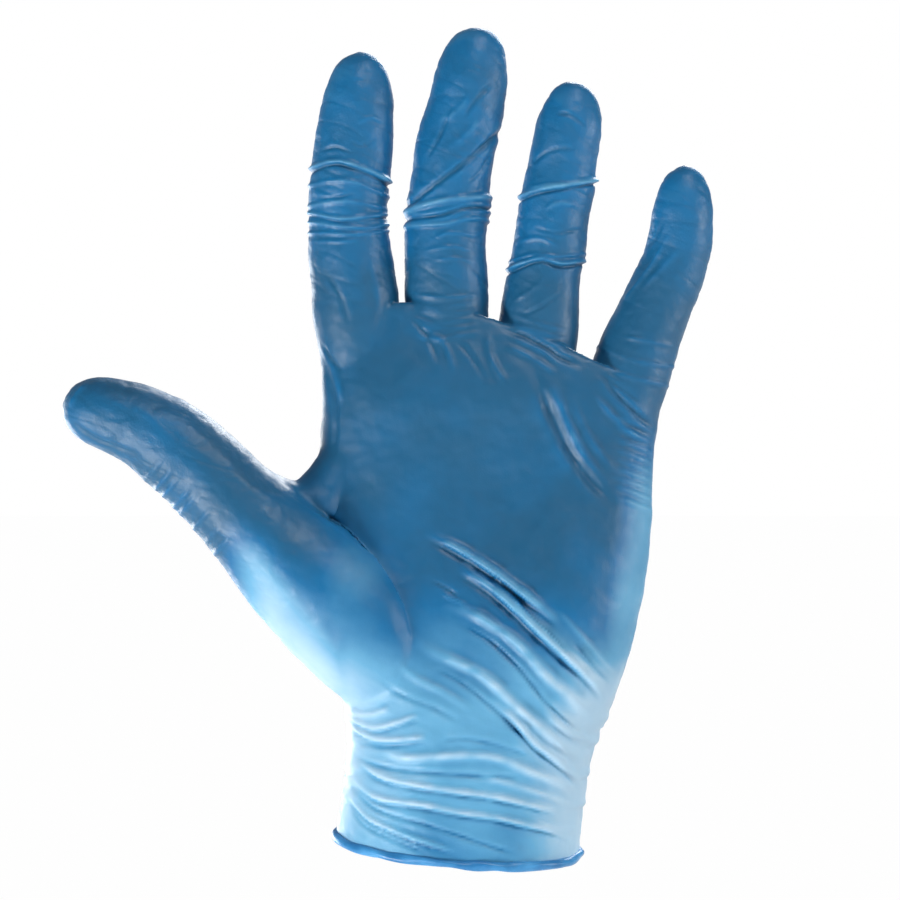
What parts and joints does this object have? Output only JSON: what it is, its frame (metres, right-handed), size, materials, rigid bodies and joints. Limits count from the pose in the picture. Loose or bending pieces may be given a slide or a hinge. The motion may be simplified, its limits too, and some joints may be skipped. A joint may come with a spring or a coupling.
{
  "type": "disposable nitrile glove",
  "caption": "Thin blue nitrile glove in its worn shape, palm forward, fingers spread and thumb stretched out, with a hollow stall for each finger and a rolled edge at the cuff.",
  "frame": {"origin": "middle of the cuff's opening, inside the rolled edge", "axes": "+Z from the cuff towards the fingertips, -Y out of the palm, -X towards the thumb (the glove is in the shape of a left hand)"},
  "size_m": [0.1755, 0.0506, 0.2281],
  "materials": {
    "film": "satin nitrile film, light blue, slightly see-through, with a fine matt grain",
    "textured_film": "the same nitrile film with a fine raised grip texture on the fingertips",
    "bead": "nitrile film rolled up on itself, so its blue is deeper; satin"
  },
  "bodies": {
    "cuff": {"cuff": "film", "rolled_bead": "bead"},
    "palm": {"hand_shell": "film", "thumb_ball": "film"},
    "thumb_lower": {"thumb_stall_lower": "film"},
    "thumb_tip": {"thumb_stall_tip": "textured_film"},
    "index_lower": {"index_stall_lower": "film"},
    "index_middle": {"index_stall_middle": "film"},
    "index_tip": {"index_stall_tip": "textured_film"},
    "middle_lower": {"middle_stall_lower": "film"},
    "middle_middle": {"middle_stall_middle": "film"},
    "middle_tip": {"middle_stall_tip": "textured_film"},
    "ring_lower": {"ring_stall_lower": "film"},
    "ring_middle": {"ring_stall_middle": "film"},
    "ring_tip": {"ring_stall_tip": "textured_film"},
    "little_lower": {"little_stall_lower": "film"},
    "little_middle": {"little_stall_middle": "film"},
    "little_tip": {"little_stall_tip": "textured_film"}
  },
  "joints": [
    {"name": "wrist_flex", "type": "hinge", "parent": "cuff", "child": "palm", "pos_m": [0, -0.02252, 0.029], "axis": [1, 0, 0], "range_deg": [0, 60], "stiffness_Nm_per_rad": 0.08},
    {"name": "index_root_flex", "type": "hinge", "parent": "palm", "child": "index_lower", "pos_m": [-0.02798, -0.0099, 0.14983], "axis": [1, 0, 0], "range_deg": [0, 80], "stiffness_Nm_per_rad": 0.006},
    {"name": "index_middle_flex", "type": "hinge", "parent": "index_lower", "child": "index_middle", "pos_m": [-0.03019, -0.00962, 0.1696], "axis": [1, 0, 0], "range_deg": [0, 90], "stiffness_Nm_per_rad": 0.004},
    {"name": "index_tip_flex", "type": "hinge", "parent": "index_middle", "child": "index_tip", "pos_m": [-0.0285, -0.0109, 0.19114], "axis": [1, 0, 0], "range_deg": [0, 54], "stiffness_Nm_per_rad": 0.002},
    {"name": "middle_root_flex", "type": "hinge", "parent": "palm", "child": "middle_lower", "pos_m": [-0.00301, -0.00957, 0.14947], "axis": [0.9962, 0, -0.0872], "range_deg": [0, 80], "stiffness_Nm_per_rad": 0.006},
    {"name": "middle_middle_flex", "type": "hinge", "parent": "middle_lower", "child": "middle_middle", "pos_m": [-0.00304, -0.00996, 0.1723], "axis": [0.9962, 0, -0.0872], "range_deg": [0, 90], "stiffness_Nm_per_rad": 0.004},
    {"name": "middle_tip_flex", "type": "hinge", "parent": "middle_middle", "child": "middle_tip", "pos_m": [0.00094, -0.01088, 0.19538], "axis": [0.9962, 0, -0.0872], "range_deg": [0, 54], "stiffness_Nm_per_rad": 0.002},
    {"name": "ring_root_flex", "type": "hinge", "parent": "palm", "child": "ring_lower", "pos_m": [0.02215, -0.00928, 0.14379], "axis": [0.9925, 0, -0.1219], "range_deg": [0, 75], "stiffness_Nm_per_rad": 0.006},
    {"name": "ring_middle_flex", "type": "hinge", "parent": "ring_lower", "child": "ring_middle", "pos_m": [0.02453, -0.0087, 0.15968], "axis": [0.9925, 0, -0.1219], "range_deg": [0, 85], "stiffness_Nm_per_rad": 0.004},
    {"name": "ring_tip_flex", "type": "hinge", "parent": "ring_middle", "child": "ring_tip", "pos_m": [0.02768, -0.00989, 0.17924], "axis": [0.9925, 0, -0.1219], "range_deg": [0, 51], "stiffness_Nm_per_rad": 0.002},
    {"name": "little_root_flex", "type": "hinge", "parent": "palm", "child": "little_lower", "pos_m": [0.04845, -0.00894, 0.1342], "axis": [0.9703, 0, -0.2419], "range_deg": [0, 75], "stiffness_Nm_per_rad": 0.006},
    {"name": "little_middle_flex", "type": "hinge", "parent": "little_lower", "child": "little_middle", "pos_m": [0.05445, -0.00859, 0.14761], "axis": [0.9703, 0, -0.2419], "range_deg": [0, 90], "stiffness_Nm_per_rad": 0.004},
    {"name": "little_tip_flex", "type": "hinge", "parent": "little_middle", "child": "little_tip", "pos_m": [0.05975, -0.00951, 0.16326], "axis": [0.9703, 0, -0.2419], "range_deg": [0, 54], "stiffness_Nm_per_rad": 0.002},
    {"name": "thumb_root_flex", "type": "hinge", "parent": "palm", "child": "thumb_lower", "pos_m": [-0.05274, -0.02051, 0.09811], "axis": [0.4545, 0.7071, 0.5417], "range_deg": [0, 40], "stiffness_Nm_per_rad": 0.006},
    {"name": "thumb_tip_flex", "type": "hinge", "parent": "thumb_lower", "child": "thumb_tip", "pos_m": [-0.07448, -0.02082, 0.11771], "axis": [0.4545, 0.7071, 0.5417], "range_deg": [0, 60], "stiffness_Nm_per_rad": 0.004}
  ],
  "couplings": [
    {"joint": "index_tip_flex", "follows": "index_middle_flex", "ratio": 0.6},
    {"joint": "middle_tip_flex", "follows": "middle_middle_flex", "ratio": 0.6},
    {"joint": "ring_tip_flex", "follows": "ring_middle_flex", "ratio": 0.6},
    {"joint": "little_tip_flex", "follows": "little_middle_flex", "ratio": 0.6}
  ]
}
